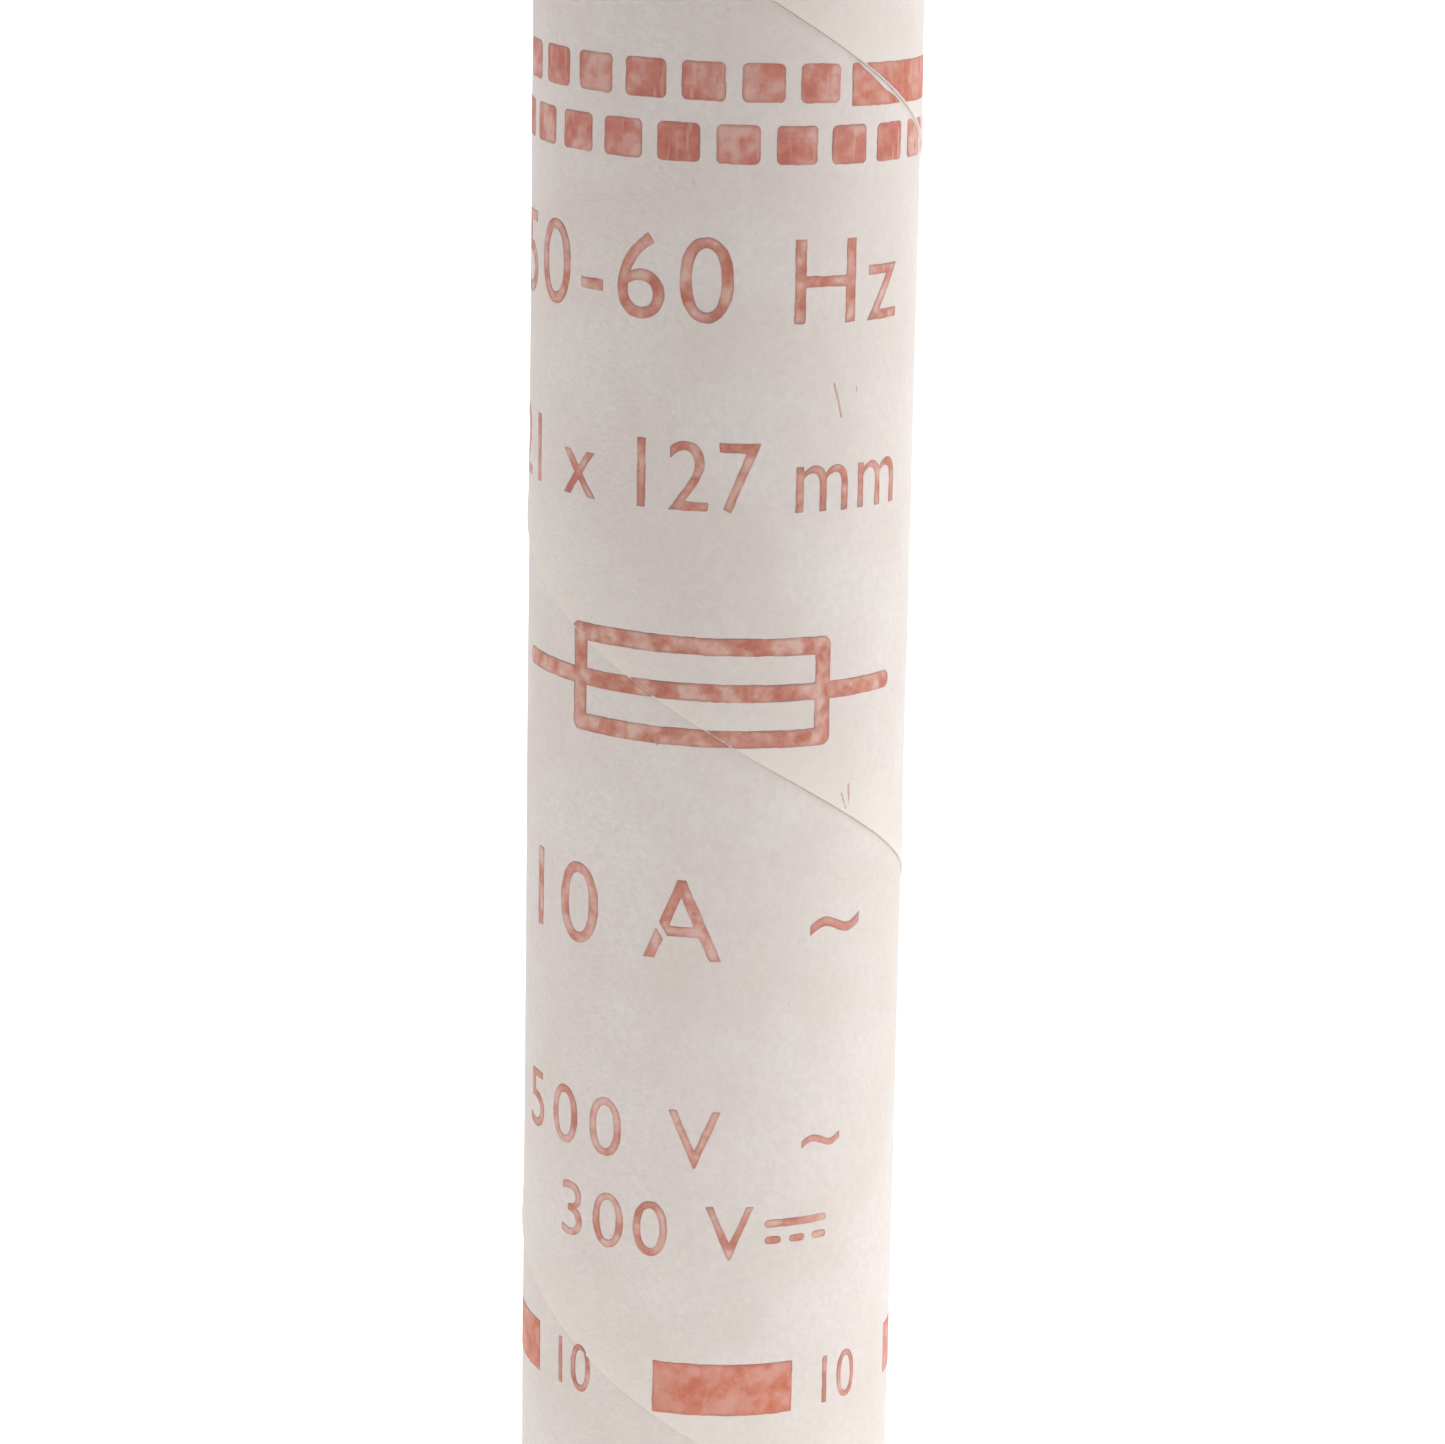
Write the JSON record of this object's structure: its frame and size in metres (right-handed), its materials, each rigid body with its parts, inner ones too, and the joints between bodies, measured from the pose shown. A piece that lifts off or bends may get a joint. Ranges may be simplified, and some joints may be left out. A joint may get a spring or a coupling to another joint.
{
  "type": "cartridge fuse",
  "caption": "Ferrule-type cartridge fuse: spiral-wound printed paper tube between two crimped brass end caps, with a notched zinc link in sand inside.",
  "frame": {"origin": "centre of the lower ferrule's end face", "axes": "+Z along the fuse from the lower to the upper ferrule, -Y towards the side that carries the rating"},
  "size_m": [0.0206, 0.0206, 0.127],
  "materials": {
    "printed_paper": "matte off-white wrap, printed with rust-red ink",
    "kraft_paper": "matte glued plies",
    "vulcanised_fibre": "matte, hard pressed",
    "gasket_paper": "matte",
    "brass": "satin, deep drawn",
    "solder": "dull tin alloy",
    "zinc": "rolled and punched",
    "quartz_sand": "packed grains"
  },
  "bodies": {
    "root": {"printed_wrap": "printed_paper", "kraft_ply_4": "kraft_paper", "kraft_ply_3": "kraft_paper", "kraft_ply_2": "kraft_paper", "kraft_ply_1": "kraft_paper", "fibre_liner": "vulcanised_fibre", "lower_ferrule": "brass", "upper_ferrule": "brass", "lower_gasket": "gasket_paper", "upper_gasket": "gasket_paper", "lower_washer": "vulcanised_fibre", "upper_washer": "vulcanised_fibre", "lower_solder": "solder", "upper_solder": "solder", "fusible_link": "zinc", "sand_filler": "quartz_sand"}
  },
  "joints": []
}
